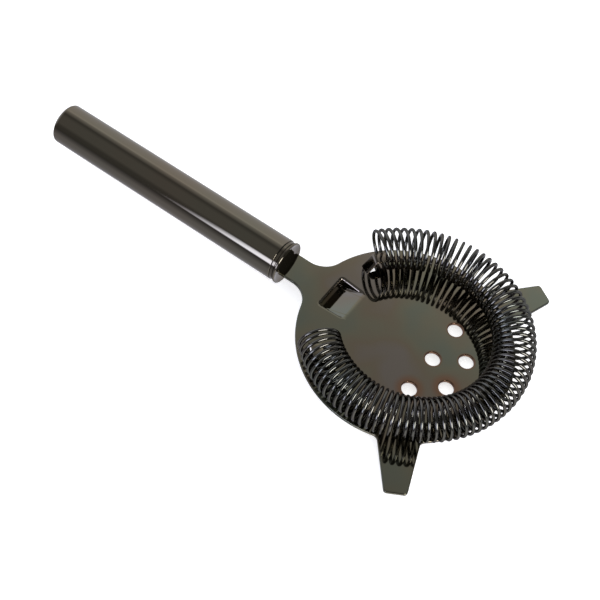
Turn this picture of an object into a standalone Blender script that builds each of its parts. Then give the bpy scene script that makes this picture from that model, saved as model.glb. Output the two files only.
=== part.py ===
"""Hawthorne cocktail strainer: a stamped plate with two prongs and a pressed finger rest, a coil
spring that runs round its rim between two lugs, and a hollow tube handle on the plate's tang.

The origin is the disc's centre on the plate's upper face, which is the side that carries the
spring. +X points away from the handle, +Z towards the spring. Driving sizes are in millimetres.
"""

import math

import bmesh
import bpy
from mathutils import Matrix, Vector

MM = 0.001
GAP = 0.3  # left between pieces that touch on the real object

# Plate, one sheet
SHEET = 1.2
DISC_R = 36.25
DISC_STEP_DEG = 4.0
NECK_HALF_WIDTH = 5.2
NECK_FILLET_R = 8.0
TANG_HALF_WIDTH = 4.6
TANG_LENGTH = 24.0  # behind the flange's face
BEND_X = -38.0  # the neck bends here, across the sheet
AT_BEND = 0.001  # corners this close to the bend stay where they are
HANDLE_TILT = math.radians(2.3)  # the handle's far end drops by this

# Prongs: each is bounded by three lines, given as the direction of the line's outward normal
# in degrees from +X and its distance from the disc's centre
PRONG_REAR = (139.6, 13.5)
PRONG_TIP = (59.5, 53.7)
PRONG_FRONT = (-19.8, 12.8)
PRONG_CORNER_R = 1.2
PRONG_ROOT_R = 2.0

# Perforations: a row of three across the disc and a row of two in front of it
HOLE_R = 2.5
HOLE_ROW_THREE = (10.4, 14.1)  # x, spacing
HOLE_ROW_TWO = (19.5, 12.4)
HOLE_SIDES = 24
FILLET_STEPS = 6
CORNER_STEPS = 8

# Finger rest: a wedge-shaped pocket pressed down from the spring's side, deepest at the handle
POCKET_FRONT_X = -20.7
POCKET_REAR_X = -30.0
POCKET_FRONT_HALF = 5.8
POCKET_REAR_HALF = 6.4
POCKET_DEPTH = 3.65
WEDGE_THIN_END = 0.05

# Coil spring
RING_CENTRE = Vector((2.0, 0.0, 0.0))
RING_R = 31.7
COIL_OUTER_R = 7.05
WIRE_R = 0.56
COIL_LIFT = 1.75  # from the plate to the coil's underside
COIL_START_DEG = -134.5
COIL_END_DEG = 146.0
COIL_TURNS = 75
COIL_HAND = -1.0  # which way the wire winds; -1 and 1 are mirror images
COIL_PHASE = math.radians(-90)  # the wire starts and ends at the bottom of a turn
CLOSE_TURNS = 1.4  # the last turns are wound closer over about this many turns
CLOSE_PITCH = 0.62  # of the open turns' pitch
PITCH_SWING = 0.06  # turns towards the left end are this share further apart, the others closer
SWING_AT = 0.44  # where the change lies, as a share of the turns
SWING_RATE = 8.0
END_TURNS = 5.0  # the left end stands up from the ring over its last turns
END_LIFT = 0.9
END_LEAN = math.radians(9)
STEPS_PER_TURN = 12
WIRE_SIDES = 4
SECTION_OVERSIZE = 1.15  # the square wire's corners stand this far out

# Lugs: tongues bent up from the sheet, each with its level part inside the coil's end
LUG_ROOT = 1.2  # the tongue starts this far into the sheet, behind its bend
LUG_HINGE = 4.0  # along the ring, from the bend in the sheet to the coil's end
LUG_RAMP = 3.2  # along the ring, from the bend to the tongue's full height
LUG_REACH = 4.6  # along the ring, from the coil's end to the tip
LUG_UNDERSIDE = 3.4  # the tongue's height over the plate, above the wire's lowest turns
LUG_THICK = 0.8
LUG_WIDTH = 3.8
LUG_TIP = 1.2  # the tip narrows over this length
LUG_TIP_WIDTH = 2.2
SLOT_START = 0.25  # along the ring, from the bend
SLOT_LENGTH = 4.2
SLOT_CLEAR = 0.15
SLOT_STEPS = 3

# Handle, measured from the flange's face towards the far end
FLANGE_X = -48.0
HANDLE_LENGTH = 98.7
TUBE_R = 7.5
TUBE_WALL = 1.0
FLANGE_R = 7.7
FLANGE_THICK = 0.9
FLANGE_DISH = 0.5  # how far the flange's face is sunk inside its rim
DISH_RIM = 2.2  # the sunk face starts this far inside the flange's edge
FLANGE_LIP = 0.6  # the rounded rim's width
LIP_SINK = 0.05  # how far behind the flange's face the rim's inner side lies
EDGE_SINK = 0.15  # and its outer side
EDGE_INSET = 0.1
BACK_INSET = 0.25
NECK_GROOVE = 0.35
NECK_GROOVE_R = 6.9
GROOVE_BEVEL = 0.15
RING_R_COLLAR = 7.25
COLLAR_LENGTH = 2.4
SPIGOT_LENGTH = 3.0
PLUG_LENGTH = 27.0
END_PLUG_LENGTH = 3.0
EDGE_R = 0.5
EDGE_ROUND = 0.3  # where the rounded edge's middle point lies, as a share of its radius
CAP_EDGE_DEPTH = 0.2
CAP_EDGE_WIDTH = 0.3
TURNED_SIDES = 48
SHARP_EDGE = math.radians(30)
TANG_SLOT_FRONT = -1.0  # the slot's cutter starts in front of the flange

# Finishes: base colours of the polished dark plating, and of the plain steel inside
PLATE_COLOUR = (0.085, 0.075, 0.062)
SPRING_COLOUR = (0.09, 0.085, 0.08)
TUBE_COLOUR = (0.1, 0.09, 0.078)
COLLAR_COLOUR = (0.085, 0.078, 0.068)
PLUG_COLOUR = (0.35, 0.34, 0.33)
CAP_COLOUR = (0.09, 0.082, 0.07)
PLATE_ROUGHNESS = 0.08
SPRING_ROUGHNESS = 0.12
TURNED_ROUGHNESS = 0.1


def new_material(name, colour, roughness):
    """A polished dark metal."""
    material = bpy.data.materials.new(name)
    material.use_nodes = True
    shader = material.node_tree.nodes["Principled BSDF"]
    shader.inputs["Base Color"].default_value = (*colour, 1.0)
    shader.inputs["Metallic"].default_value = 1.0
    shader.inputs["Roughness"].default_value = roughness
    return material


def new_object(name, bm, colour=None, roughness=TURNED_ROUGHNESS):
    """Turn a bmesh in millimetres into an object in metres; a cutter has no colour."""
    bmesh.ops.recalc_face_normals(bm, faces=bm.faces[:])
    bm.transform(Matrix.Scale(MM, 4))
    mesh = bpy.data.meshes.new(name)
    bm.to_mesh(mesh)
    bm.free()
    thing = bpy.data.objects.new(name, mesh)
    bpy.context.scene.collection.objects.link(thing)
    if colour is None:
        thing.hide_render = True
        thing.display_type = "WIRE"
    else:
        mesh.materials.append(new_material(name + "_finish", colour, roughness))
    return thing


def add_boolean(target, tool, operation):
    """Keep a live EXACT boolean on the target."""
    modifier = target.modifiers.new(operation.lower() + "_" + tool.name, "BOOLEAN")
    modifier.operation = operation
    modifier.solver = "EXACT"
    modifier.object = tool


def arc(centre, radius, start, end, steps):
    """Points on an arc, both ends included; angles in radians."""
    span = (end - start) / steps
    angles = [start + span * i for i in range(steps + 1)]
    return [centre + Vector((math.cos(a), math.sin(a))) * radius for a in angles]


def turn_between(start, end):
    """The end angle, moved by full turns to lie within half a turn of the start."""
    return start + (end - start + math.pi) % (2 * math.pi) - math.pi


def rim_fillet(line, radius, side):
    """A fillet between a line and the disc's rim, from the line to the rim.

    side is 1 where the root lies to the left of the line's normal, -1 to its right.
    """
    normal = Vector((math.cos(line[0]), math.sin(line[0])))
    along = Vector((-normal.y, normal.x)) * side
    reach = line[1] + radius
    centre = normal * reach + along * math.sqrt((DISC_R + radius) ** 2 - reach ** 2)
    start = math.atan2(-normal.y, -normal.x)
    end = turn_between(start, math.atan2(-centre.y, -centre.x))
    return arc(centre, radius, start, end, FILLET_STEPS)


def line_corner(first, second, radius):
    """A rounded outward corner between two lines, from the first to the second."""
    n1 = Vector((math.cos(first[0]), math.sin(first[0])))
    n2 = Vector((math.cos(second[0]), math.sin(second[0])))
    c1, c2 = first[1] - radius, second[1] - radius
    det = n1.x * n2.y - n1.y * n2.x
    centre = Vector(((c1 * n2.y - c2 * n1.y) / det, (n1.x * c2 - n2.x * c1) / det))
    start = math.atan2(n1.y, n1.x)
    end = turn_between(start, math.atan2(n2.y, n2.x))
    return arc(centre, radius, start, end, CORNER_STEPS)


def rim_arc(start_point, end_point):
    """The rim between two points on it, both left out."""
    start = math.atan2(start_point.y, start_point.x)
    end = turn_between(start, math.atan2(end_point.y, end_point.x))
    steps = max(2, round(abs(end - start) / math.radians(DISC_STEP_DEG)))
    return arc(Vector((0, 0)), DISC_R, start, end, steps)[1:-1]


def plate_outline():
    """The flat sheet's outline, counter-clockwise."""
    rear, tip, front = [(math.radians(a), d) for a, d in (PRONG_REAR, PRONG_TIP, PRONG_FRONT)]
    neck = rim_fillet((math.radians(90), NECK_HALF_WIDTH), NECK_FILLET_R, 1)
    rear_root = rim_fillet(rear, PRONG_ROOT_R, -1)
    front_root = rim_fillet(front, PRONG_ROOT_R, 1)
    nose = Vector((DISC_R, 0))
    tang_end = FLANGE_X - TANG_LENGTH
    half = [Vector((tang_end, TANG_HALF_WIDTH)), Vector((FLANGE_X, TANG_HALF_WIDTH))]
    half += [Vector((FLANGE_X + GAP, NECK_HALF_WIDTH))] + neck
    half += rim_arc(neck[-1], rear_root[-1]) + rear_root[::-1]
    half += line_corner(rear, tip, PRONG_CORNER_R) + line_corner(tip, front, PRONG_CORNER_R)
    half += front_root + rim_arc(front_root[-1], nose)
    mirrored = [Vector((p.x, -p.y)) for p in half]
    return mirrored + [nose] + half[::-1]


def perforations():
    """Centres of the round holes."""
    x3, space3 = HOLE_ROW_THREE
    x2, space2 = HOLE_ROW_TWO
    row_three = [Vector((x3, space3 * i)) for i in (-1, 0, 1)]
    return row_three + [Vector((x2, space2 * i)) for i in (-0.5, 0.5)]


def add_loop(bm, points):
    """A closed loop of edges at the sheet's upper face."""
    verts = [bm.verts.new((p.x, p.y, 0.0)) for p in points]
    return [bm.edges.new((verts[i - 1], verts[i])) for i in range(len(verts))]


def wedge(name, grow, top):
    """A wedge with its deep end at the handle: the pocket itself, or with grow its outer skin."""
    front, rear = POCKET_FRONT_X + grow, POCKET_REAR_X - grow
    front_half, rear_half = POCKET_FRONT_HALF + grow, POCKET_REAR_HALF + grow
    corners = [(front, front_half), (front, -front_half), (rear, -rear_half), (rear, rear_half)]
    slope = POCKET_DEPTH / (POCKET_FRONT_X - POCKET_REAR_X)
    bm = bmesh.new()
    upper = [bm.verts.new((x, y, top)) for x, y in corners]
    lower = []
    for x, y in corners:
        depth = slope * (POCKET_FRONT_X - max(x, POCKET_REAR_X)) + grow
        lower.append(bm.verts.new((x, y, -max(depth, WEDGE_THIN_END))))
    bm.faces.new(upper)
    bm.faces.new(lower[::-1])
    for i in range(4):
        bm.faces.new((upper[i - 1], upper[i], lower[i], lower[i - 1]))
    return new_object(name, bm)


def block(name, low, high):
    """A box between two corners."""
    size = [h - l for l, h in zip(low, high)]
    middle = [(h + l) / 2 for l, h in zip(low, high)]
    bm = bmesh.new()
    bmesh.ops.create_cube(bm, size=1.0)
    bm.transform(Matrix.Translation(middle) @ Matrix.Diagonal((*size, 1.0)))
    return new_object(name, bm)


def ring_strip(name, end_deg, outwards, stations):
    """A solid that follows the ring towards the coil from a lug's bend. Each station is a distance
    from the bend, half a width, and the lower and upper corner as (distance, height) pairs."""
    bend = math.radians(end_deg) + outwards * LUG_HINGE / RING_R
    bm = bmesh.new()
    rows = []
    for half, lower, upper in stations:
        row = []
        for (along, height), side in ((lower, -1), (lower, 1), (upper, 1), (upper, -1)):
            angle = bend - outwards * along / RING_R
            reach = RING_R + side * half
            corner = Vector((math.cos(angle) * reach, math.sin(angle) * reach, height))
            row.append(bm.verts.new(RING_CENTRE + corner))
        rows.append(row)
    for first, second in zip(rows, rows[1:]):
        for k in range(4):
            bm.faces.new((first[k - 1], first[k], second[k], second[k - 1]))
    bm.faces.new(rows[0])
    bm.faces.new(rows[-1][::-1])
    return new_object(name, bm)


def make_lug(name, end_deg, outwards, lift):
    """A tongue bent up from the sheet, whose level part enters the coil's end."""
    middle = LUG_UNDERSIDE + lift + LUG_THICK / 2
    tip = LUG_HINGE + LUG_REACH
    path = [(-LUG_ROOT, -SHEET / 2), (0, -SHEET / 2), (LUG_RAMP, middle)]
    path += [((LUG_RAMP + tip - LUG_TIP) / 2, middle), (tip - LUG_TIP, middle), (tip, middle)]
    halves = [LUG_WIDTH / 2] * (len(path) - 1) + [LUG_TIP_WIDTH / 2]
    stations = []
    for i, (along, height) in enumerate(path):
        before = Vector(path[i]) - Vector(path[i - 1]) if i else Vector((1, 0))
        after = Vector(path[i + 1]) - Vector(path[i]) if i + 1 < len(path) else before
        before.normalize()
        across = (before + after.normalized()).normalized()
        reach = LUG_THICK / 2 / across.dot(before)
        offset = Vector((-across.y, across.x)) * reach
        here = Vector((along, height))
        stations.append((halves[i], tuple(here - offset), tuple(here + offset)))
    return ring_strip(name, end_deg, outwards, stations)


def make_lug_slot(name, end_deg, outwards):
    """The opening that a tongue leaves in the sheet."""
    half = LUG_WIDTH / 2 + SLOT_CLEAR
    stations = []
    for i in range(SLOT_STEPS + 1):
        along = SLOT_START + SLOT_LENGTH * i / SLOT_STEPS
        stations.append((half, (along, -2 * SHEET), (along, SHEET)))
    return ring_strip(name, end_deg, outwards, stations)


def make_plate():
    bm = bmesh.new()
    edges = add_loop(bm, plate_outline())
    for centre in perforations():
        ring = arc(centre, HOLE_R, 0, 2 * math.pi, HOLE_SIDES)[:-1]
        edges += add_loop(bm, ring)
    bmesh.ops.triangle_fill(bm, use_beauty=True, edges=edges)
    sheet = bmesh.ops.extrude_face_region(bm, geom=bm.faces[:])["geom"]
    moved = [v for v in sheet if isinstance(v, bmesh.types.BMVert)]
    bmesh.ops.translate(bm, vec=(0, 0, -SHEET), verts=moved)
    everything = bm.verts[:] + bm.edges[:] + bm.faces[:]
    bmesh.ops.bisect_plane(bm, geom=everything, plane_co=(BEND_X, 0, 0), plane_no=(1, 0, 0))
    tail = [v for v in bm.verts if v.co.x < BEND_X - AT_BEND]
    pivot = Vector((BEND_X, 0, -SHEET / 2))
    bmesh.ops.rotate(bm, verts=tail, cent=pivot, matrix=Matrix.Rotation(-HANDLE_TILT, 3, "Y"))
    plate = new_object("strainer_plate", bm, PLATE_COLOUR, PLATE_ROUGHNESS)
    for name, end, outwards, lift in (
            ("left", COIL_END_DEG, 1, END_LIFT), ("right", COIL_START_DEG, -1, 0.0)):
        slot = make_lug_slot("lug_slot_" + name, end, outwards)
        add_boolean(plate, slot, "DIFFERENCE")
        add_boolean(plate, make_lug("lug_" + name, end, outwards, lift), "UNION")
    add_boolean(plate, wedge("pocket_skin", SHEET, -SHEET / 2), "UNION")
    add_boolean(plate, wedge("pocket", 0.0, SHEET), "DIFFERENCE")
    return plate


def coil_angles():
    """The angle round the ring at each step along the wire, closer together at both ends."""
    steps = COIL_TURNS * STEPS_PER_TURN
    pitch = []
    for i in range(steps):
        turn = (i + 0.5) / STEPS_PER_TURN
        from_end = min(turn, COIL_TURNS - turn)
        swing = PITCH_SWING * math.tanh(SWING_RATE * (turn / COIL_TURNS - SWING_AT))
        pitch.append(1 + swing - (1 - CLOSE_PITCH) * math.exp(-((from_end / CLOSE_TURNS) ** 2)))
    scale = (COIL_END_DEG - COIL_START_DEG) / sum(pitch)
    angles = [COIL_START_DEG]
    for share in pitch:
        angles.append(angles[-1] + share * scale)
    return [math.radians(a) for a in angles]


def make_spring():
    """One wire wound round a circle, whose left end is lifted, with the last turns' tops leaning
    outwards. The corners lie outside the true round by the polygon's sag, so that the faceted
    coil holds the round one."""
    loop_r = (COIL_OUTER_R - WIRE_R) / math.cos(math.pi / STEPS_PER_TURN)
    height = COIL_LIFT + COIL_OUTER_R
    section_r = WIRE_R * SECTION_OVERSIZE
    centres, outwards = [], []
    for i, angle in enumerate(coil_angles()):
        phase = COIL_PHASE + COIL_HAND * 2 * math.pi * i / STEPS_PER_TURN
        radial = Vector((math.cos(angle), math.sin(angle), 0))
        share = max(0.0, 1 - (COIL_TURNS - i / STEPS_PER_TURN) / END_TURNS)
        share *= share * (3 - 2 * share)
        lean = END_LEAN * share
        up = Vector((-radial.y * math.sin(lean), radial.x * math.sin(lean), math.cos(lean)))
        out = radial * math.cos(phase) + up * math.sin(phase)
        axis_height = Vector((0, 0, height + END_LIFT * share))
        centres.append(RING_CENTRE + radial * RING_R + axis_height + out * loop_r)
        outwards.append(out)
    bm = bmesh.new()
    rings = []
    for i, centre in enumerate(centres):
        before, after = centres[max(i - 1, 0)], centres[min(i + 1, len(centres) - 1)]
        tangent = (after - before).normalized()
        out = (outwards[i] - tangent * outwards[i].dot(tangent)).normalized()
        side = tangent.cross(out)
        ring = []
        for k in range(WIRE_SIDES):
            turn = 2 * math.pi * (k + 0.5) / WIRE_SIDES
            offset = out * math.cos(turn) + side * math.sin(turn)
            ring.append(bm.verts.new(centre + offset * section_r))
        rings.append(ring)
    for first, second in zip(rings, rings[1:]):
        for k in range(WIRE_SIDES):
            bm.faces.new((first[k - 1], first[k], second[k], second[k - 1]))
    bm.faces.new(rings[0][::-1])
    bm.faces.new(rings[-1])
    return new_object("coil_spring", bm, SPRING_COLOUR, SPRING_ROUGHNESS)


def turned(name, profile, colour, closed=False):
    """A solid of revolution about local Z. The profile is (distance along Z, radius); it starts
    and ends on the axis, or is closed into a ring for a hollow piece."""
    bm = bmesh.new()
    rows = []
    for along, radius in profile:
        if radius == 0:
            rows.append([bm.verts.new((0, 0, along))])
            continue
        row = arc(Vector((0, 0)), radius, 0, 2 * math.pi, TURNED_SIDES)[:-1]
        rows.append([bm.verts.new((p.x, p.y, along)) for p in row])
    pairs = list(zip(rows, rows[1:]))
    if closed:
        pairs.append((rows[-1], rows[0]))
    for first, second in pairs:
        for k in range(TURNED_SIDES):
            corners = [first[k - 1], first[k]] if len(first) > 1 else [first[0]]
            corners += [second[k], second[k - 1]] if len(second) > 1 else [second[0]]
            bm.faces.new(corners)
    piece = new_object(name, bm, colour)
    piece.data.shade_smooth()
    piece.data.set_sharp_from_angle(angle=SHARP_EDGE)
    return piece


def make_handle():
    """The handle's pieces stand on an empty at the flange's face, whose local Z runs down the
    handle and whose local X is across the tang's thickness."""
    drop = (BEND_X - FLANGE_X) * math.tan(HANDLE_TILT)
    axis = bpy.data.objects.new("handle_axis", None)
    axis.location = Vector((FLANGE_X, 0, -SHEET / 2 - drop)) * MM
    axis.rotation_euler = (0, -(math.pi / 2 + HANDLE_TILT), 0)
    bpy.context.scene.collection.objects.link(axis)

    bore = TUBE_R - TUBE_WALL
    inner_r = bore - GAP
    tube_start = COLLAR_LENGTH + GAP
    middle = EDGE_R * EDGE_ROUND
    tube_profile = [
        (tube_start, bore), (tube_start, TUBE_R - EDGE_R / 3), (tube_start + EDGE_R / 3, TUBE_R),
        (HANDLE_LENGTH - EDGE_R, TUBE_R), (HANDLE_LENGTH - middle, TUBE_R - middle),
        (HANDLE_LENGTH, TUBE_R - EDGE_R), (HANDLE_LENGTH, bore),
    ]
    tube = turned("handle_tube", tube_profile, TUBE_COLOUR, closed=True)

    collar_profile = [
        (FLANGE_DISH, 0), (FLANGE_DISH, FLANGE_R - DISH_RIM), (LIP_SINK, FLANGE_R - FLANGE_LIP),
        (EDGE_SINK, FLANGE_R - EDGE_INSET), (FLANGE_THICK / 2, FLANGE_R),
        (FLANGE_THICK, FLANGE_R - BACK_INSET),
        (FLANGE_THICK, NECK_GROOVE_R), (FLANGE_THICK + NECK_GROOVE, NECK_GROOVE_R),
        (FLANGE_THICK + NECK_GROOVE + GROOVE_BEVEL, RING_R_COLLAR), (COLLAR_LENGTH, RING_R_COLLAR),
        (COLLAR_LENGTH, inner_r), (COLLAR_LENGTH + SPIGOT_LENGTH, inner_r),
        (COLLAR_LENGTH + SPIGOT_LENGTH, 0),
    ]
    collar = turned("collar", collar_profile, COLLAR_COLOUR)

    plug_start = COLLAR_LENGTH + SPIGOT_LENGTH + GAP
    plug_end = plug_start + PLUG_LENGTH
    plug_profile = [(plug_start, 0), (plug_start, inner_r), (plug_end, inner_r), (plug_end, 0)]
    plug = turned("tang_plug", plug_profile, PLUG_COLOUR)

    cap_start = HANDLE_LENGTH - END_PLUG_LENGTH
    cap_profile = [
        (cap_start, 0), (cap_start, inner_r), (HANDLE_LENGTH - CAP_EDGE_DEPTH, inner_r),
        (HANDLE_LENGTH, inner_r - CAP_EDGE_WIDTH), (HANDLE_LENGTH, 0),
    ]
    end_cap = turned("end_cap", cap_profile, CAP_COLOUR)

    slot_half = SHEET / 2 + GAP
    width = TANG_HALF_WIDTH + GAP
    tang_slot = block(
        "tang_slot", (-slot_half, -width, TANG_SLOT_FRONT), (slot_half, width, TANG_LENGTH + GAP)
    )
    add_boolean(collar, tang_slot, "DIFFERENCE")
    add_boolean(plug, tang_slot, "DIFFERENCE")
    for piece in (tube, collar, plug, end_cap, tang_slot):
        piece.parent = axis


def main():
    for thing in list(bpy.data.objects):
        bpy.data.objects.remove(thing, do_unlink=True)
    make_plate()
    make_spring()
    make_handle()
    bpy.context.view_layer.update()


main()
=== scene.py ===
"""Looks of the hawthorne strainer: a dark mirror-polished plate, a coil of drawn wire and a tube
handle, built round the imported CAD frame. Sizes are in millimetres until a mesh is made."""

import math

import bmesh
import bpy
from mathutils import Matrix, Vector
from mathutils.geometry import delaunay_2d_cdt


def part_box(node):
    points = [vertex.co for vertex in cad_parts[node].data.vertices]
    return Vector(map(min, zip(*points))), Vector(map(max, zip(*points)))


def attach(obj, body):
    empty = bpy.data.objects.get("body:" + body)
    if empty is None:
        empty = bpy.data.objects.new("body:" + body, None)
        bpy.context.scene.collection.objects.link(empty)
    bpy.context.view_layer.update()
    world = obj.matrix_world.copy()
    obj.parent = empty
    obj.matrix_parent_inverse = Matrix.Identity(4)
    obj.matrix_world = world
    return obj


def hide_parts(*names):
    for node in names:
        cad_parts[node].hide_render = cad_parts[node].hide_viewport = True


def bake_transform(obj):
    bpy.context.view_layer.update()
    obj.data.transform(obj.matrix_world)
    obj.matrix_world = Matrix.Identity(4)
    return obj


MM = 0.001

# Plate, the same driving sizes as the CAD model
SHEET = 1.2
SHEET_EDGE_R = 0.3
SHEET_SUPPORT = 0.15  # a narrow flat band inside the rounded edge
SHEET_EDGE_STEPS = 4
DISC_R = 36.25
DISC_STEP_DEG = 1.0
NECK_HALF_WIDTH = 5.2
NECK_FILLET_R = 8.0
TANG_HALF_WIDTH = 4.6
TANG_LENGTH = 24.0
TANG_SHOULDER = 0.4  # the tang widens to the neck over this length
BEND_X = -38.0
BEND_CUTS = 6
BEND_SPAN = 3.0
HANDLE_TILT = math.radians(2.3)

# Each prong lies between three lines: the outward normal's direction from +X in degrees, and the
# line's distance from the disc's centre
PRONG_REAR = (139.6, 13.5)
PRONG_TIP = (59.5, 53.7)
PRONG_FRONT = (-19.8, 12.8)
PRONG_CORNER_R = 1.2
PRONG_ROOT_R = 2.0
FILLET_STEPS = 16
CORNER_STEPS = 10
SHARPEST_LEAN = 0.5  # an inset corner moves no further than the distance divided by this
SAME_POINT = 1e-5

HOLE_R = 2.5
HOLE_ROW_THREE = (10.4, 14.1)
HOLE_ROW_TWO = (19.5, 12.4)
HOLE_SIDES = 72

# Finger rest: a wedge-shaped pocket pressed into the sheet
POCKET_FRONT_X = -20.7
POCKET_REAR_X = -30.0
POCKET_FRONT_HALF = 5.8
POCKET_REAR_HALF = 6.4
POCKET_DEPTH = 3.65
POCKET_WALL_SLOPE = 7.0
POCKET_ROLL_R = 1.1
POCKET_HINGE = 0.9
POCKET_CORNER_R = 0.6
POCKET_BLEND = 0.5  # how softly the floor meets the walls
UNDER_GROW = SHEET * 0.8  # the same on the underside, where the pocket bulges
UNDER_ROLL_R = 0.3
UNDER_BLEND = 1.2
PATCH_MARGIN = 0.3  # the pocket's grid: flat band round it, fine and coarse stretches and steps
PATCH_FRONT = 0.4
PATCH_FINE_TO = 1.3
PATCH_COARSE_TO = 4.9
PATCH_FINE_STEP = 0.09
PATCH_STEP_X = 0.4
PATCH_STEP_Y = 0.5

# Coil spring
RING_CENTRE = Vector((2.0, 0.0, 0.0))
RING_R = 31.7
COIL_OUTER_R = 7.05
WIRE_R = 0.56
COIL_LIFT = 1.75
COIL_START_DEG = -134.5
COIL_END_DEG = 146.0
COIL_TURNS = 75
COIL_HAND = -1.0
COIL_PHASE = math.radians(-90)
CLOSE_TURNS = 1.4  # the last turns are wound closer over about this many turns
CLOSE_PITCH = 0.62
PITCH_SWING = 0.06  # the pitch changes by this share either way, round this place on the coil
SWING_AT = 0.44
SWING_RATE = 8.0
END_TURNS = 5.0  # the left end stands up from the ring over its last turns
END_LIFT = 0.9
END_LEAN = math.radians(9)
STEPS_PER_TURN = 40
WIRE_SIDES = 10

# Lugs: tongues bent up from the sheet, which enter the coil's ends
LUG_HINGE = 4.0
LUG_RAMP = 3.2
LUG_REACH = 4.6
LUG_UNDERSIDE = 3.4
LUG_THICK = 0.8
LUG_WIDTH = 3.8
LUG_BEND_R = 1.0
LUG_EDGE_R = 0.28
LUG_EDGE_STEPS = 3
LUG_EDGE_SHARE = 0.9  # near the tip the rounded edge takes up this much of the half width
LUG_BEND_STEPS = 6
LUG_ROOT = 2.4  # the tongue starts this far into the sheet, behind its bend
TIP_SHARES = (0.3, 0.5, 0.62, 0.74, 0.84, 0.91, 0.96, 0.99)  # cuts, closer together at the tip
TIP_HALF_LEAST = 0.01
SLOT_START = 0.25
SLOT_LENGTH = 4.2
SLOT_CLEAR = 0.15
SLOT_CORNER_R = 0.5
SLOT_CORNER_STEPS = 4
SLOT_STEP = 0.8
QUADRANTS = ((1, 1, 0), (-1, 1, 90), (-1, -1, 180), (1, -1, 270))  # signs, and start angle in degrees

# Handle
FLANGE_X = -48.0
HANDLE_LENGTH = 98.7
TUBE_R = 7.5
TUBE_WALL = 1.0
FLANGE_R = 7.7
FLANGE_THICK = 0.9
FLANGE_DISH = 0.5
NECK_GROOVE_R = 6.9
RING_R_COLLAR = 7.25
COLLAR_LENGTH = 2.4
COLLAR_SPIGOT = 3.0  # the collar goes on this far into the tube
SPIGOT_CLEAR = 0.3
END_PLUG_LENGTH = 3.0
TURNED_SIDES = 160
TURNED_EDGE_STEPS = 4
TUBE_GAP = 0.12  # between the collar and the tube
TUBE_LIP_R = 0.15
TUBE_LIP_FLAT = 0.1
TUBE_END_R = 0.6
TUBE_SUPPORT = 0.4
CAP_CLEAR = 0.02
CAP_CHAMFER = 0.12
CAP_FACE = 0.5
# The flange's dished face and rounded rim: distance behind its front, distance in from its rim
FLANGE_PROFILE = (
    (FLANGE_DISH, 2.6), (FLANGE_DISH - 0.06, 2.0), (FLANGE_DISH - 0.2, 1.3), (0.1, 0.6),
    (0.03, 0.35), (0.06, 0.15), (0.2, 0.03), (FLANGE_THICK / 2, 0.0), (FLANGE_THICK - 0.2, 0.04),
    (FLANGE_THICK - 0.05, 0.2),
)
GROOVE_END = FLANGE_THICK + 0.35
RING_START = FLANGE_THICK + 0.4
RING_CHAMFER = 0.1

# Finishes
REFLECTION_REACH_NEAR = 3.4  # how far the painted reflection, a warm brown, reaches from the near perforations, and from the others
REFLECTION_REACH_FAR = 1.0
TINT_START = 0.36  # the part of the clouds' range that the tints are spread over
TINT_SPAN = 0.28
CLOUD_DETAIL = 2.0
POLISH_FINER = 9  # the polish varies on a scale this much finer than the tints
POLISH_SPREAD = 0.4
MARK_SCALE = 900.0
MARK_DETAIL = 3.0
MARK_DEPTH = 0.00002  # metres

# Camera, at the photograph's angle
CAMERA_TARGET = Vector((-35.9, -9.6, 0.0))
CAMERA_DISTANCE = 372.5
CAMERA_AZIMUTH = math.radians(-63.5)
CAMERA_ELEVATION = math.radians(56.54)
CAMERA_ROLL = math.radians(11.45)
CAMERA_LENS = 68.1
CAMERA_CLIP = (0.01, 50.0)

# Studio: contact points, gap, floor and light, in metres
FLANGE_CONTACT_IN = 0.0004  # the flange's lowest point, behind its front
PRONG_CONTACT_IN = 0.0003  # the prongs' lowest point, behind their tips' rounding
FLOOR_GAP = 0.00005
FLOOR_HALF = 3.0
FLOOR_COLOUR = (0.93, 0.93, 0.93)
FLOOR_ROUGHNESS = 0.9
FLOOR_GLOW = 0.72
BACKDROP = (0.97, 0.97, 0.97)
LIGHT_PLACE = (0.2, 0.1, 1.4)
LIGHT_SIZE = (2.2, 2.2)
LIGHT_POWER = 12.0

# The studio's plain surfaces, as (degrees round the X axis from +Y towards +Z, brightness). The
# camera is on the -Y side, so that +Y is the far side.
WORLD_LEVELS = (
    (-180, 0.10),  # the dark near side
    (-150, 0.35), (-110, 0.40),  # the near floor
    (-60, 0.65), (45, 0.65),  # the far floor and wall
    (52, 0.75),  # the wall's bright top edge
    (58, 0.45), (80, 0.12),  # the shade above it
    (100, 0.20), (140, 0.20),  # the ceiling
    (155, 0.12), (180, 0.10),  # the dark near side again
)
BLUE_BELOW_DEG = -20  # the low surroundings are a little bluer
LOW_BLUE = 1.12
KEY_DIRECTION = Vector((0.81, -0.38, 0.445)).normalized()

# Patches over those surroundings, later ones over earlier ones. Each is its soft steps, as (what is
# measured, where it is 0, where it is 1), all of which have to be passed, and its colour.
WORLD_PATCHES = (
    # a pale table top, low on the near right
    ((("x", -0.12, 0.04), ("z", -0.02, -0.15), ("y", 0.0, -0.2)), (0.85, 0.85, 0.87)),
    # a dim upper right side
    ((("x", 0.04, 0.20), ("z", 0.1, 0.3)), (0.10, 0.10, 0.105)),
    # a bright panel on the upper left
    ((("x", -0.56, -0.68), ("z", 0.15, 0.35)), (0.78, 0.84, 1.0)),
    # a small brighter panel, low on the near side
    ((("heading", math.radians(-116), math.radians(-110)),
      ("heading", math.radians(-72), math.radians(-80)),
      ("z", 0.04, 0.16), ("z", 0.50, 0.38)), (3.6, 3.8, 5.0)),
    # the key light, on the near right
    ((("towards_key", math.cos(math.radians(19)), math.cos(math.radians(12))),), (9.0, 9.0, 9.0)),
)


# ---------------------------------------------------------------- outlines

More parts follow.
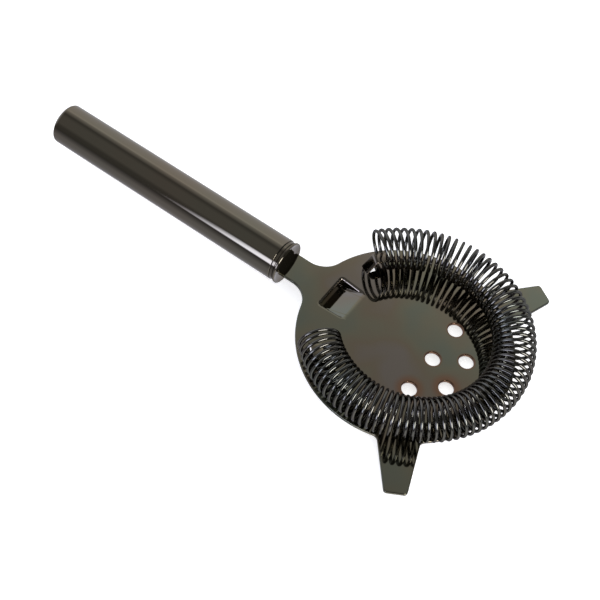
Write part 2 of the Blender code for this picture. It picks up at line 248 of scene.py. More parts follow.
def arc(centre, radius, start, end, steps):
    """Points on an arc, both ends included; angles in radians."""
    span = (end - start) / steps
    angles = [start + span * i for i in range(steps + 1)]
    return [centre + Vector((math.cos(a), math.sin(a))) * radius for a in angles]


def turn_between(start, end):
    """The end angle, moved by full turns to lie within half a turn of the start."""
    return start + (end - start + math.pi) % (2 * math.pi) - math.pi


def rim_fillet(line, radius, side):
    """A fillet between a line and the disc's rim, from the line to the rim."""
    normal = Vector((math.cos(line[0]), math.sin(line[0])))
    along = Vector((-normal.y, normal.x)) * side
    reach = line[1] + radius
    centre = normal * reach + along * math.sqrt((DISC_R + radius) ** 2 - reach ** 2)
    start = math.atan2(-normal.y, -normal.x)
    end = turn_between(start, math.atan2(-centre.y, -centre.x))
    return arc(centre, radius, start, end, FILLET_STEPS)


def line_corner(first, second, radius):
    """A rounded outward corner between two lines, from the first to the second."""
    n1 = Vector((math.cos(first[0]), math.sin(first[0])))
    n2 = Vector((math.cos(second[0]), math.sin(second[0])))
    c1, c2 = first[1] - radius, second[1] - radius
    det = n1.x * n2.y - n1.y * n2.x
    centre = Vector(((c1 * n2.y - c2 * n1.y) / det, (n1.x * c2 - n2.x * c1) / det))
    start = math.atan2(n1.y, n1.x)
    return arc(centre, radius, start, turn_between(start, math.atan2(n2.y, n2.x)), CORNER_STEPS)


def rim_arc(start_point, end_point):
    """The rim between two points on it, both left out."""
    start = math.atan2(start_point.y, start_point.x)
    end = turn_between(start, math.atan2(end_point.y, end_point.x))
    steps = max(2, round(abs(end - start) / math.radians(DISC_STEP_DEG)))
    return arc(Vector((0, 0)), DISC_R, start, end, steps)[1:-1]


def plate_outline():
    """The flat sheet's outline, counter-clockwise, seen from the spring's side."""
    rear, tip, front = [(math.radians(a), d) for a, d in (PRONG_REAR, PRONG_TIP, PRONG_FRONT)]
    neck = rim_fillet((math.radians(90), NECK_HALF_WIDTH), NECK_FILLET_R, 1)
    rear_root = rim_fillet(rear, PRONG_ROOT_R, -1)
    front_root = rim_fillet(front, PRONG_ROOT_R, 1)
    nose = Vector((DISC_R, 0))
    tang_end = FLANGE_X - TANG_LENGTH
    shoulder = FLANGE_X - TANG_SHOULDER
    half = [Vector((tang_end, TANG_HALF_WIDTH)), Vector((shoulder, TANG_HALF_WIDTH))]
    half += [Vector((FLANGE_X, NECK_HALF_WIDTH))] + neck
    half += rim_arc(neck[-1], rear_root[-1]) + rear_root[::-1]
    half += line_corner(rear, tip, PRONG_CORNER_R) + line_corner(tip, front, PRONG_CORNER_R)
    half += front_root + rim_arc(front_root[-1], nose)
    mirrored = [Vector((p.x, -p.y)) for p in half]
    return mirrored + [nose] + half[::-1]


def perforations():
    """Centres of the round holes."""
    x3, space3 = HOLE_ROW_THREE
    x2, space2 = HOLE_ROW_TWO
    row_three = [Vector((x3, space3 * i)) for i in (-1, 0, 1)]
    return row_three + [Vector((x2, space2 * i)) for i in (-0.5, 0.5)]


def inset(points, distance):
    """A closed outline moved to its left, which is into the sheet, by a distance."""
    moved = []
    for i, point in enumerate(points):
        before = (point - points[i - 1]).normalized()
        after = (points[(i + 1) % len(points)] - point).normalized()
        left = Vector((-before.y - after.y, before.x + after.x)).normalized()
        lean = max(SHARPEST_LEAN, left.dot(Vector((-before.y, before.x))))
        moved.append(point + left * (distance / lean))
    return moved


# ---------------------------------------------------------------- mesh helpers

def finished(name, bm, material, smooth_deg=40.0):
    """Turn a bmesh in millimetres into a smooth-shaded object in metres."""
    bmesh.ops.recalc_face_normals(bm, faces=bm.faces[:])
    bm.transform(Matrix.Scale(MM, 4))
    mesh = bpy.data.meshes.new(name)
    bm.to_mesh(mesh)
    bm.free()
    mesh.materials.append(material)
    mesh.shade_smooth()
    mesh.set_sharp_from_angle(angle=math.radians(smooth_deg))
    piece = bpy.data.objects.new(name, mesh)
    bpy.context.scene.collection.objects.link(piece)
    return piece


def bridge(bm, first, second):
    """Quads between two closed rings of the same count."""
    for k in range(len(first)):
        bm.faces.new((first[k - 1], first[k], second[k], second[k - 1]))


def crossings(point, start, end):
    """Whether a ray from the point towards +X crosses a line between two points."""
    if (start.y > point.y) == (end.y > point.y):
        return False
    share = (point.y - start.y) / (end.y - start.y)
    return point.x < start.x + (end.x - start.x) * share


def fill_between(bm, rings):
    """Triangles between an outline and the rings inside it, all at one height."""
    verts = [v for ring in rings for v in ring]
    edges = []
    for ring in rings:
        first = len(edges)
        edges += [(first + i, first + (i + 1) % len(ring)) for i in range(len(ring))]
    flat = [v.co.to_2d() for v in verts]
    places, _, triangles, sources, _, _ = delaunay_2d_cdt(flat, edges, [], 0, SAME_POINT)
    for triangle in triangles:
        middle = sum((places[i] for i in triangle), Vector((0, 0))) / 3
        if sum(crossings(middle, flat[a], flat[b]) for a, b in edges) % 2:
            bm.faces.new([verts[sources[i][0]] for i in triangle])


def rounded_rim(bm, outline):
    """The sheet's rounded edge along one outline. Returns its upper and lower inner rings."""
    r = SHEET_EDGE_R
    quarter = [math.radians(90 * i / SHEET_EDGE_STEPS) for i in range(SHEET_EDGE_STEPS + 1)]
    upper = [(r + SHEET_SUPPORT, 0.0)] + [(r - r * math.sin(a), r * math.cos(a) - r) for a in quarter]
    lower = [(across, -SHEET - height) for across, height in reversed(upper)]
    rings = []
    for across, height in upper + lower:
        rings.append([bm.verts.new((p.x, p.y, height)) for p in inset(outline, across)])
    for first, second in zip(rings, rings[1:]):
        bridge(bm, first, second)
    return rings[0], rings[-1]


# ---------------------------------------------------------------- the plate

def soft_least(a, b, blend):
    """The smaller of two numbers, rounded off where they meet."""
    share = max(blend - abs(a - b), 0.0) / blend
    return min(a, b) - share * share * blend / 4


def wall_depth(inside, roll_r):
    """Depth of a pocket's wall at a distance inside its top edge: rolled over, then steep."""
    if inside <= -roll_r:
        return 0.0
    lean = POCKET_WALL_SLOPE / math.hypot(1, POCKET_WALL_SLOPE)
    run = min(inside + roll_r, roll_r * lean)
    depth = roll_r - math.sqrt(roll_r ** 2 - run ** 2)
    return depth + max(inside + roll_r - run, 0.0) * POCKET_WALL_SLOPE


def inside_corner(across, along):
    """Distance inside the pocket's outline, whose rear corners are rounded."""
    if across >= POCKET_CORNER_R or along >= POCKET_CORNER_R:
        return min(across, along)
    return POCKET_CORNER_R - math.hypot(POCKET_CORNER_R - across, POCKET_CORNER_R - along)


def floor_depth(x):
    """Depth of the pocket's sloping floor, with a soft bend where it leaves the plate."""
    slope = POCKET_DEPTH / (POCKET_FRONT_X - POCKET_REAR_X)
    run = POCKET_FRONT_X - x
    if abs(run) < POCKET_HINGE:
        return slope * (run + POCKET_HINGE) ** 2 / (4 * POCKET_HINGE)
    return slope * max(run, 0.0)


def pocket_half(x):
    """Half the pocket's width at x."""
    share = (x - POCKET_REAR_X) / (POCKET_FRONT_X - POCKET_REAR_X)
    return POCKET_REAR_HALF + (POCKET_FRONT_HALF - POCKET_REAR_HALF) * share


def spread(stations, step_near, step_far):
    """Numbers from the first station to the last, closer together near the stations marked."""
    values = []
    for (a, fine_a), (b, fine_b) in zip(stations, stations[1:]):
        step = step_near if fine_a and fine_b else step_far
        count = max(1, math.ceil(abs(b - a) / step))
        values += [a + (b - a) * i / count for i in range(count)]
    return values + [stations[-1][0]]


def pocket_patch(bm, level, grow, roll_r, blend):
    """The pocket pressed into one face of the sheet, as a grid. Returns its boundary ring."""
    margin = roll_r + PATCH_MARGIN
    rear = POCKET_REAR_X - grow
    front = POCKET_FRONT_X + POCKET_HINGE + PATCH_FRONT
    xs = spread(
        [(front, True), (POCKET_FRONT_X - POCKET_HINGE, True), (rear + PATCH_FINE_TO, False),
         (rear + PATCH_FINE_TO, True), (rear - margin, True)], PATCH_FINE_STEP, PATCH_STEP_X)
    across = spread(
        [(-margin, True), (PATCH_FINE_TO, True), (PATCH_FINE_TO, False), (PATCH_COARSE_TO, False)],
        PATCH_FINE_STEP, PATCH_STEP_Y)
    rows = []
    for x in xs:
        half = pocket_half(max(x, POCKET_REAR_X)) + grow
        left = [half - u for u in across]
        row = []
        for y in left + [0.0] + [-y for y in reversed(left)]:
            wall = wall_depth(inside_corner(half - abs(y), x - rear), roll_r)
            depth = soft_least(floor_depth(x), wall, blend) if wall > 0 else 0.0
            row.append(bm.verts.new((x, y, level - max(depth, 0.0))))
        rows.append(row)
    for first, second in zip(rows, rows[1:]):
        for k in range(len(first) - 1):
            bm.faces.new((first[k], first[k + 1], second[k + 1], second[k]))
    edge = rows[0] + [row[-1] for row in rows[1:-1]] + rows[-1][::-1]
    return edge + [row[0] for row in reversed(rows[1:-1])]


def bend_neck(bm):
    """Bend the neck down across a short stretch, so that the handle's end drops."""
    everything = bm.verts[:] + bm.edges[:] + bm.faces[:]
    start = BEND_X + BEND_SPAN / 2
    for i in range(BEND_CUTS + 1):
        x = start - BEND_SPAN * i / BEND_CUTS
        bmesh.ops.bisect_plane(bm, geom=everything, plane_co=(x, 0, 0), plane_no=(1, 0, 0))
        everything = bm.verts[:] + bm.edges[:] + bm.faces[:]
    radius = BEND_SPAN / HANDLE_TILT
    centre = Vector((start, 0, -SHEET / 2 - radius))
    for vert in bm.verts:
        run = start - vert.co.x
        if run <= 0:
            continue
        angle = min(run, BEND_SPAN) / radius
        beyond = max(run - BEND_SPAN, 0.0)
        height = vert.co.z + SHEET / 2 + radius
        vert.co.x = centre.x - height * math.sin(angle) - beyond * math.cos(angle)
        vert.co.z = centre.z + height * math.cos(angle) - beyond * math.sin(angle)


def ring_point(end_deg, outwards, along, side):
    """A point on the ring circle, a distance from a lug's bend and to one side of the circle."""
    angle = math.radians(end_deg) + outwards * (LUG_HINGE - along) / RING_R
    return RING_CENTRE.to_2d() + Vector((math.cos(angle), math.sin(angle))) * (RING_R + side)


def slot_outline(end_deg, outwards):
    """The opening that a tongue leaves in the sheet, clockwise."""
    half = LUG_WIDTH / 2 + SLOT_CLEAR
    corner = SLOT_CORNER_R
    middle = SLOT_LENGTH / 2
    flat = []
    for sx, sy, start in QUADRANTS:
        centre = Vector((middle + sx * (middle - corner), sy * (half - corner)))
        turn = math.radians(start), math.radians(start + 90)
        flat += arc(centre, corner, *turn, SLOT_CORNER_STEPS)
    dense = []
    for i, point in enumerate(flat):
        after = flat[(i + 1) % len(flat)]
        count = max(1, round((after - point).length / SLOT_STEP))
        dense += [point.lerp(after, k / count) for k in range(count)]
    points = [ring_point(end_deg, outwards, SLOT_START + p.x, p.y) for p in dense]
    return points if outwards > 0 else points[::-1]


def make_plate(material):
    """The stamped sheet: rounded edges, perforations, the lugs' slots, the pocket and the neck."""
    bm = bmesh.new()
    holes = [arc(c, HOLE_R, 2 * math.pi, 0, HOLE_SIDES)[:-1] for c in perforations()]
    holes += [slot_outline(COIL_END_DEG, 1), slot_outline(COIL_START_DEG, -1)]
    rims = [rounded_rim(bm, outline) for outline in [plate_outline()] + holes]
    upper_pocket = pocket_patch(bm, 0.0, 0.0, POCKET_ROLL_R, POCKET_BLEND)
    lower_pocket = pocket_patch(bm, -SHEET, UNDER_GROW, UNDER_ROLL_R, UNDER_BLEND)
    fill_between(bm, [upper for upper, _ in rims] + [upper_pocket])
    fill_between(bm, [lower for _, lower in rims] + [lower_pocket])
    bend_neck(bm)
    return finished("plate_sheet", bm, material, smooth_deg=60.0)


def rounded_path(points, radius, steps):
    """A polyline with its inner corners replaced by arcs."""
    path = [points[0]]
    for before, corner, after in zip(points, points[1:], points[2:]):
        back, ahead = (before - corner).normalized(), (after - corner).normalized()
        half_turn = back.angle(ahead) / 2
        reach = radius / math.tan(half_turn)
        centre = corner + (back + ahead).normalized() * radius / math.sin(half_turn)
        start, end = corner + back * reach - centre, corner + ahead * reach - centre
        for k in range(steps + 1):
            path.append(centre + start.slerp(end, k / steps) if k < steps else centre + end)
    return path + [points[-1]]


def make_lug(name, end_deg, outwards, lift, material):
    """A tongue bent up from the sheet, whose level part enters the coil's end."""
    middle = LUG_UNDERSIDE + lift + LUG_THICK / 2
    tip = LUG_HINGE + LUG_REACH
    corners = [(-LUG_ROOT, -SHEET / 2), (0, -SHEET / 2), (LUG_RAMP, middle), (tip, middle)]
    path = rounded_path([Vector(c) for c in corners], LUG_BEND_R, LUG_BEND_STEPS)
    last = path.pop()
    path += [path[-1].lerp(last, share) for share in TIP_SHARES]
    half_width, half_thick, edge = LUG_WIDTH / 2, LUG_THICK / 2, LUG_EDGE_R
    bm = bmesh.new()
    rings = []
    for i, here in enumerate(path):
        ahead = path[min(i + 1, len(path) - 1)] - path[max(i - 1, 0)]
        across = Vector((-ahead.y, ahead.x)).normalized()
        into_tip = max(0.0, here.x - (tip - half_width)) / half_width
        half = half_width * math.sqrt(max(0.0, 1 - into_tip ** 2)) + TIP_HALF_LEAST
        round_r = min(edge, half * LUG_EDGE_SHARE)
        ring = []
        for sx, sy, start in QUADRANTS:
            centre = Vector((sx * (half - round_r), sy * (half_thick - edge)))
            for k in range(LUG_EDGE_STEPS + 1):
                turn = math.radians(start + 90 * k / LUG_EDGE_STEPS)
                side = centre.x + round_r * math.cos(turn)
                place = here + across * (centre.y + edge * math.sin(turn))
                flat = ring_point(end_deg, outwards, place.x, side)
                ring.append(bm.verts.new((flat.x, flat.y, place.y)))
        rings.append(ring)
    for first, second in zip(rings, rings[1:]):
        bridge(bm, first, second)
    bm.faces.new(rings[0])
    bm.faces.new(rings[-1][::-1])
    return finished(name, bm, material, smooth_deg=50.0)


# ---------------------------------------------------------------- the spring

def coil_angles():
    """The angle round the ring at each step along the wire: closer together at both ends, and a
    little closer on one half of the ring than on the other."""
    steps = COIL_TURNS * STEPS_PER_TURN
    pitch = []
    for i in range(steps):
        turn = (i + 0.5) / STEPS_PER_TURN
        from_end = min(turn, COIL_TURNS - turn)
        swing = PITCH_SWING * math.tanh(SWING_RATE * (turn / COIL_TURNS - SWING_AT))
        pitch.append(1 + swing - (1 - CLOSE_PITCH) * math.exp(-((from_end / CLOSE_TURNS) ** 2)))
    scale = (COIL_END_DEG - COIL_START_DEG) / sum(pitch)
    angles = [COIL_START_DEG]
    for share in pitch:
        angles.append(angles[-1] + share * scale)
    return [math.radians(a) for a in angles]


def make_coil(material):
    """One wire wound round a circle, whose left end is lifted, with the last turns' tops leaning
    outwards."""
    loop_r = COIL_OUTER_R - WIRE_R
    height = COIL_LIFT + COIL_OUTER_R
    centres, outwards = [], []
    for i, angle in enumerate(coil_angles()):
        phase = COIL_PHASE + COIL_HAND * 2 * math.pi * i / STEPS_PER_TURN
        radial = Vector((math.cos(angle), math.sin(angle), 0))
        share = max(0.0, 1 - (COIL_TURNS - i / STEPS_PER_TURN) / END_TURNS)
        share *= share * (3 - 2 * share)
        lean = END_LEAN * share
        up = Vector((-radial.y * math.sin(lean), radial.x * math.sin(lean), math.cos(lean)))
        out = radial * math.cos(phase) + up * math.sin(phase)
        axis_height = Vector((0, 0, height + END_LIFT * share))
        centres.append(RING_CENTRE + radial * RING_R + axis_height + out * loop_r)
        outwards.append(out)
    bm = bmesh.new()
    rings = []
    for i, centre in enumerate(centres):
        before, after = centres[max(i - 1, 0)], centres[min(i + 1, len(centres) - 1)]
        tangent = (after - before).normalized()
        out = (outwards[i] - tangent * outwards[i].dot(tangent)).normalized()
        side = tangent.cross(out)
        ring = []
        for k in range(WIRE_SIDES):
            turn = 2 * math.pi * k / WIRE_SIDES
            ring.append(bm.verts.new(
                centre + (out * math.cos(turn) + side * math.sin(turn)) * WIRE_R))
        rings.append(ring)
    for first, second in zip(rings, rings[1:]):
        bridge(bm, first, second)
    bm.faces.new(rings[0][::-1])
    bm.faces.new(rings[-1])
    return finished("spring_coil", bm, material, smooth_deg=60.0)


# ---------------------------------------------------------------- the handle

def handle_matrix():
    """The handle's own frame: local Z runs from the flange's face to the far end."""
    drop = (BEND_X - FLANGE_X) * math.tan(HANDLE_TILT)
    place = Matrix.Translation((FLANGE_X, 0, -SHEET / 2 - drop))
    return place @ Matrix.Rotation(-(math.pi / 2 + HANDLE_TILT), 4, "Y")


def turned(name, profile, material, closed=False):
    """A solid of revolution down the handle, from (distance from the flange, radius) points."""
    bm = bmesh.new()
    rows = []
    for along, radius in profile:
        if radius == 0:
            rows.append([bm.verts.new((0, 0, along))])
            continue
        row = arc(Vector((0, 0)), radius, 0, 2 * math.pi, TURNED_SIDES)[:-1]
        rows.append([bm.verts.new((p.x, p.y, along)) for p in row])
    pairs = list(zip(rows, rows[1:]))
    if closed:
        pairs.append((rows[-1], rows[0]))
    for first, second in pairs:
        for k in range(TURNED_SIDES):
            corners = [first[k - 1], first[k]] if len(first) > 1 else [first[0]]
            corners += [second[k], second[k - 1]] if len(second) > 1 else [second[0]]
            bm.faces.new(corners)
    bm.transform(handle_matrix())
    return finished(name, bm, material, smooth_deg=35.0)


def round_edge(along, radius, edge_r, start_deg):
    """Points a quarter turn round a turned edge whose centre is at (along, radius)."""
    steps = TURNED_EDGE_STEPS
    angles = [math.radians(start_deg - 90 * i / steps) for i in range(steps + 1)]
    return [(along + edge_r * math.cos(a), radius + edge_r * math.sin(a)) for a in angles]


def make_handle(material, collar_material):
    """The tube, the disc that closes its far end, and the collar with its flange in front."""
    bore = TUBE_R - TUBE_WALL
    joint = COLLAR_LENGTH + TUBE_GAP
    end = HANDLE_LENGTH - TUBE_END_R
    tube_profile = [(joint, bore), (joint, TUBE_R - TUBE_LIP_R - TUBE_LIP_FLAT)]
    tube_profile += round_edge(joint + TUBE_LIP_R, TUBE_R - TUBE_LIP_R, TUBE_LIP_R, 180)
    tube_profile += [(joint + TUBE_LIP_R + TUBE_SUPPORT, TUBE_R), (end - TUBE_SUPPORT, TUBE_R)]
    tube_profile += round_edge(end, TUBE_R - TUBE_END_R, TUBE_END_R, 90)
    tube_profile += [(HANDLE_LENGTH, bore)]
    tube = turned("handle_shell", tube_profile, material, closed=True)

    cap_r, cap_face = bore - CAP_CLEAR, HANDLE_LENGTH - CAP_CLEAR
    cap_start = HANDLE_LENGTH - END_PLUG_LENGTH
    cap_profile = [
        (cap_start, 0), (cap_start, cap_r), (HANDLE_LENGTH - CAP_CHAMFER, cap_r),
        (cap_face, cap_r - CAP_CHAMFER), (cap_face, bore - CAP_FACE), (cap_face, 0),
    ]
    cap = turned("handle_end_disc", cap_profile, material)

    ring_edge = RING_R_COLLAR - RING_CHAMFER
    spigot_r, spigot_end = bore - SPIGOT_CLEAR, COLLAR_LENGTH + COLLAR_SPIGOT
    collar_profile = [(FLANGE_DISH, 0)]
    collar_profile += [(along, FLANGE_R - inwards) for along, inwards in FLANGE_PROFILE]
    collar_profile += [
        (FLANGE_THICK, NECK_GROOVE_R), (GROOVE_END, NECK_GROOVE_R),
        (RING_START, ring_edge), (RING_START + RING_CHAMFER, RING_R_COLLAR),
        (COLLAR_LENGTH - RING_CHAMFER, RING_R_COLLAR), (COLLAR_LENGTH, ring_edge),
        (COLLAR_LENGTH, spigot_r), (spigot_end, spigot_r), (spigot_end, 0),
    ]
    collar = turned("front_collar", collar_profile, collar_material)
    return tube, cap, collar


# ---------------------------------------------------------------- materials

def soft_step(nodes, links, source, start, end):
    """A number that goes smoothly from 0 to 1 as the source goes from start to end."""
    step = nodes.new("ShaderNodeMapRange")
    step.interpolation_type = "SMOOTHSTEP"
    step.inputs["From Min"].default_value = start
    step.inputs["From Max"].default_value = end
    links.new(source, step.inputs["Value"])
    return step.outputs["Result"]


def joined(nodes, links, operation, first, second):
    """Two sockets put through a math node."""
    node = nodes.new("ShaderNodeMath")
    node.operation = operation
    links.new(first, node.inputs[0])
    links.new(second, node.inputs[1])
    return node.outputs[0]


def mixed(nodes, links, amount, first, second):
    """A colour socket mixed towards a plain colour, by an amount from 0 to 1."""
    mix = nodes.new("ShaderNodeMix")
    mix.data_type = "RGBA"
    mix.inputs["B"].default_value = (*second, 1.0)
    links.new(amount, mix.inputs["Factor"])
    links.new(first, mix.inputs["A"])
    return mix.outputs["Result"]


def reflection_round_holes(nodes, links, place):
    """Where the painted reflection lies: a number that is 1 at the perforations' edges and falls to 0
    a little way off.
    """
    halo = None
    for centre in perforations():
        distance = nodes.new("ShaderNodeVectorMath")
        distance.operation = "DISTANCE"
        distance.inputs[1].default_value = (centre.x * MM, centre.y * MM, 0)
        links.new(place, distance.inputs[0])
        # the painted reflection reaches further round the perforations on the near side
        reach = REFLECTION_REACH_NEAR if centre.y < 0 else REFLECTION_REACH_FAR
        one = soft_step(nodes, links, distance.outputs["Value"], (HOLE_R + reach) * MM, HOLE_R * MM)
        halo = joined(nodes, links, "MAXIMUM", halo, one) if halo else one
    return halo


def dark_chrome(name, tints, roughness, scale, scratch, edge=1.0, painted_reflection_tint=None):
    """A dark mirror coating: faint interference tints that drift over the surface, slightly
    uneven polish, and very fine polishing marks. With a painted reflection tint, the colour warms
    towards the perforations' edges: a painted reflection, reaching further round the near ones."""
    material = bpy.data.materials.new(name)
    material.use_nodes = True
    nodes, links = material.node_tree.nodes, material.node_tree.links
    shader = nodes["Principled BSDF"]
    shader.inputs["Metallic"].default_value = 1.0
    shader.inputs["Specular Tint"].default_value = (edge, edge, edge, 1.0)
    place = nodes.new("ShaderNodeTexCoord")
    clouds = nodes.new("ShaderNodeTexNoise")
    clouds.inputs["Scale"].default_value = scale
    clouds.inputs["Detail"].default_value = CLOUD_DETAIL
    links.new(place.outputs["Object"], clouds.inputs["Vector"])
    tint = nodes.new("ShaderNodeValToRGB")
    stops = tint.color_ramp.elements
    while len(stops) < len(tints):
        stops.new(0.5)
    for i, (stop, colour) in enumerate(zip(stops, tints)):
        stop.position = TINT_START + TINT_SPAN * i / (len(tints) - 1)
        stop.color = (*colour, 1.0)
    links.new(clouds.outputs["Fac"], tint.inputs["Fac"])
    colour = tint.outputs["Color"]
    # painted reflection: a warm brown mixed into the colour round the perforations
    if painted_reflection_tint:
        reflection_amount = reflection_round_holes(nodes, links, place.outputs["Object"])
        colour = mixed(nodes, links, reflection_amount, colour, painted_reflection_tint)
    links.new(colour, shader.inputs["Base Color"])
    polish = nodes.new("ShaderNodeTexNoise")
    polish.inputs["Scale"].default_value = scale * POLISH_FINER
    links.new(place.outputs["Object"], polish.inputs["Vector"])
    gloss = nodes.new("ShaderNodeMapRange")
    gloss.inputs["To Min"].default_value = roughness * (1 - POLISH_SPREAD)
    gloss.inputs["To Max"].default_value = roughness * (1 + POLISH_SPREAD)
    links.new(polish.outputs["Fac"], gloss.inputs["Value"])
    links.new(gloss.outputs["Result"], shader.inputs["Roughness"])
    marks = nodes.new("ShaderNodeTexNoise")
    marks.inputs["Scale"].default_value = MARK_SCALE
    marks.inputs["Detail"].default_value = MARK_DETAIL
    links.new(place.outputs["Object"], marks.inputs["Vector"])
    bump = nodes.new("ShaderNodeBump")
    bump.inputs["Strength"].default_value = scratch
    bump.inputs["Distance"].default_value = MARK_DEPTH
    links.new(marks.outputs["Fac"], bump.inputs["Height"])
    links.new(bump.outputs["Normal"], shader.inputs["Normal"])
    return material


def plain(name, colour, roughness, glow):
    """A matt studio surface that glows a little, like a light table."""
    material = bpy.data.materials.new(name)
    material.use_nodes = True
    shader = material.node_tree.nodes["Principled BSDF"]
    shader.inputs["Base Color"].default_value = (*colour, 1.0)
    shader.inputs["Roughness"].default_value = roughness
    shader.inputs["Specular IOR Level"].default_value = 0.0
    shader.inputs["Emission Color"].default_value = (*colour, 1.0)
    shader.inputs["Emission Strength"].default_value = glow
    return material


# ---------------------------------------------------------------- studio

def make_camera():
    """The camera at the photograph's angle, which is rolled a little about its line of sight."""
    data = bpy.data.cameras.new("camera")
    data.lens = CAMERA_LENS
    data.clip_start, data.clip_end = CAMERA_CLIP
    camera = bpy.data.objects.new("camera", data)
    flat = math.cos(CAMERA_ELEVATION)
    back = Vector((
        math.cos(CAMERA_AZIMUTH) * flat, math.sin(CAMERA_AZIMUTH) * flat,
        math.sin(CAMERA_ELEVATION)))
    camera.location = (CAMERA_TARGET + back * CAMERA_DISTANCE) * MM
    camera.rotation_mode = "QUATERNION"
    aim = (-back).to_track_quat("-Z", "Y")
    camera.rotation_quaternion = aim @ Matrix.Rotation(CAMERA_ROLL, 3, "Z").to_quaternion()
    bpy.context.scene.collection.objects.link(camera)
    bpy.context.scene.camera = camera


def make_floor():
    """A pale floor through the points that the strainer lies on: the flange's lowest point and the
    prongs' front ends. Its weight lies between them, so the handle's far end stays in the air."""
    collar_low, collar_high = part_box("collar")
    _, plate_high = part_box("strainer_plate")
    rear = Vector((collar_high[0] - FLANGE_CONTACT_IN, 0, collar_low[2]))
    front = Vector((plate_high[0] - PRONG_CONTACT_IN, 0, -SHEET * MM))
    run = front - rear
    bm = bmesh.new()
    bmesh.ops.create_grid(bm, x_segments=1, y_segments=1, size=FLOOR_HALF / MM)
    paint = plain("floor_paint", FLOOR_COLOUR, FLOOR_ROUGHNESS, FLOOR_GLOW)
    floor = finished("floor", bm, paint)
    floor.location = rear - Vector((0, 0, FLOOR_GAP))
    floor.rotation_euler = (0, -math.atan2(run.z, run.x), 0)
    floor.visible_glossy = False


def make_world():
    """Soft studio surroundings. Brightness changes with the angle round the X axis: a bright far
    side, dimmer below, dark overhead and on the near side. Over that lie a table top, a dim right
    side, two panels and a key light. The camera itself sees plain pale surroundings."""
    world = bpy.data.worlds.new("studio")
    bpy.context.scene.world = world
    world.use_nodes = True
    nodes, links = world.node_tree.nodes, world.node_tree.links
    background = nodes["Background"]
    place = nodes.new("ShaderNodeTexCoord")
    split = nodes.new("ShaderNodeSeparateXYZ")
    links.new(place.outputs["Generated"], split.inputs["Vector"])
    x, y, z = (split.outputs[axis] for axis in "XYZ")
    around = joined(nodes, links, "ARCTAN2", z, y)
    share = nodes.new("ShaderNodeMapRange")
    share.inputs["From Min"].default_value = -math.pi
    share.inputs["From Max"].default_value = math.pi
    links.new(around, share.inputs["Value"])
    ramp = nodes.new("ShaderNodeValToRGB")
    elements = ramp.color_ramp.elements
    while len(elements) < len(WORLD_LEVELS):
        elements.new(0.5)
    for element, (degrees, level) in zip(elements, WORLD_LEVELS):
        blue = LOW_BLUE if degrees < BLUE_BELOW_DEG else 1.0
        element.position = (degrees + 180) / 360
        element.color = (level, level, level * blue, 1.0)
    links.new(share.outputs["Result"], ramp.inputs["Fac"])

    towards = nodes.new("ShaderNodeVectorMath")
    towards.operation = "DOT_PRODUCT"
    towards.inputs[1].default_value = KEY_DIRECTION
    links.new(place.outputs["Generated"], towards.inputs[0])
    heading = joined(nodes, links, "ARCTAN2", y, x)
    measured = {
        "x": x, "y": y, "z": z, "heading": heading, "towards_key": towards.outputs["Value"]}
    colour = ramp.outputs["Color"]
    for steps, level in WORLD_PATCHES:
        amount = None
        for what, zero_at, one_at in steps:
            step = soft_step(nodes, links, measured[what], zero_at, one_at)
            amount = joined(nodes, links, "MULTIPLY", amount, step) if amount else step
        colour = mixed(nodes, links, amount, colour, level)

    path = nodes.new("ShaderNodeLightPath")
    seen = mixed(nodes, links, path.outputs["Is Camera Ray"], colour, BACKDROP)
    links.new(seen, background.inputs["Color"])


def make_light(name, place, aim, size, power, in_reflections):
    """A soft rectangular lamp that faces a point."""
    data = bpy.data.lights.new(name, "AREA")
    data.shape = "RECTANGLE"
    data.size, data.size_y = size
    data.energy = power
    light = bpy.data.objects.new(name, data)
    light.location = place
    light.rotation_mode = "QUATERNION"
    light.rotation_quaternion = (Vector(aim) - Vector(place)).to_track_quat("-Z", "Y")
    light.visible_glossy = in_reflections
    bpy.context.scene.collection.objects.link(light)


# ---------------------------------------------------------------- assembly

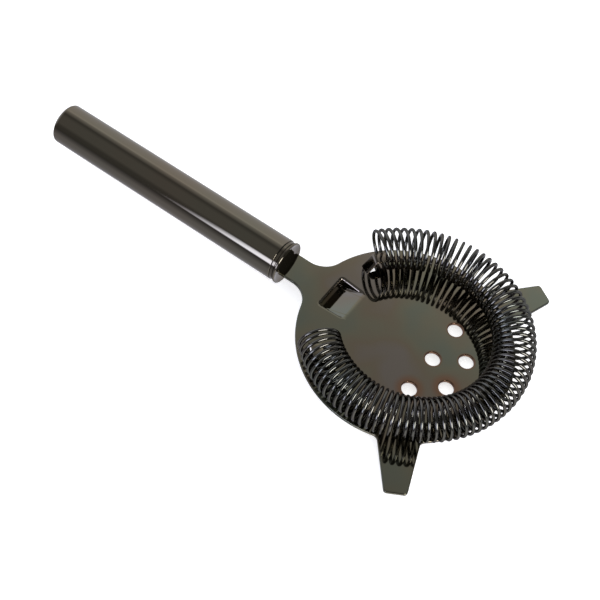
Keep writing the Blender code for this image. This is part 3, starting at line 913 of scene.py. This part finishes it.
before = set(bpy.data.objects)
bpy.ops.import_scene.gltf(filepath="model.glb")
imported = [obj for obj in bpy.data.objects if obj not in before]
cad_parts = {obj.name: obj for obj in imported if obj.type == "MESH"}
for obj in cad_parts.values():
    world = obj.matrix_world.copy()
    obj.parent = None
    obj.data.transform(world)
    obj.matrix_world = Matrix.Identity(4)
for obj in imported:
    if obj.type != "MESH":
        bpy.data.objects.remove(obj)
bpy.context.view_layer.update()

make_camera()
# the plate's warm brown round the perforations is a painted reflection
plate_finish = dark_chrome(
    "plate_finish",
    [(0.178, 0.190, 0.148), (0.200, 0.190, 0.138), (0.208, 0.175, 0.128), (0.212, 0.186, 0.160)],
    0.05, 38.0, 0.05, painted_reflection_tint=(0.235, 0.135, 0.085))
wire_finish = dark_chrome(
    "wire_finish", [(0.128, 0.132, 0.118), (0.144, 0.136, 0.120)], 0.09, 60.0, 0.1, edge=0.5)
handle_finish = dark_chrome(
    "handle_finish", [(0.225, 0.21, 0.165), (0.24, 0.205, 0.16)], 0.045, 25.0, 0.04)
collar_finish = dark_chrome(
    "collar_finish", [(0.185, 0.17, 0.135), (0.195, 0.17, 0.13)], 0.06, 80.0, 0.08)
steel_finish = dark_chrome("steel_finish", [(0.56, 0.55, 0.53), (0.5, 0.49, 0.48)], 0.3, 200.0, 0.3)

plate = make_plate(plate_finish)
lugs = [
    make_lug("spring_lug_left", COIL_END_DEG, 1, END_LIFT, plate_finish),
    make_lug("spring_lug_right", COIL_START_DEG, -1, 0.0, plate_finish),
]
tube, cap, collar = make_handle(handle_finish, collar_finish)
coil = make_coil(wire_finish)

for piece, slot_name in (
    (plate, "plate_black_chrome"), (lugs[0], "plate_black_chrome"), (lugs[1], "plate_black_chrome"),
    (tube, "handle_black_chrome"), (cap, "handle_black_chrome"), (collar, "collar_black_chrome"),
):
    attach(piece, "strainer")
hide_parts("strainer_plate")
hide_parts("handle_tube")
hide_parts("end_cap")
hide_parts("collar")
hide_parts("coil_spring")
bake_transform(coil)

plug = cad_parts["tang_plug"]
plug.data.materials.clear()
plug.data.materials.append(steel_finish)

make_floor()
make_world()
make_light("overhead", LIGHT_PLACE, (0, 0, 0), LIGHT_SIZE, LIGHT_POWER, in_reflections=False)

bpy.context.scene.view_settings.view_transform = "Standard"
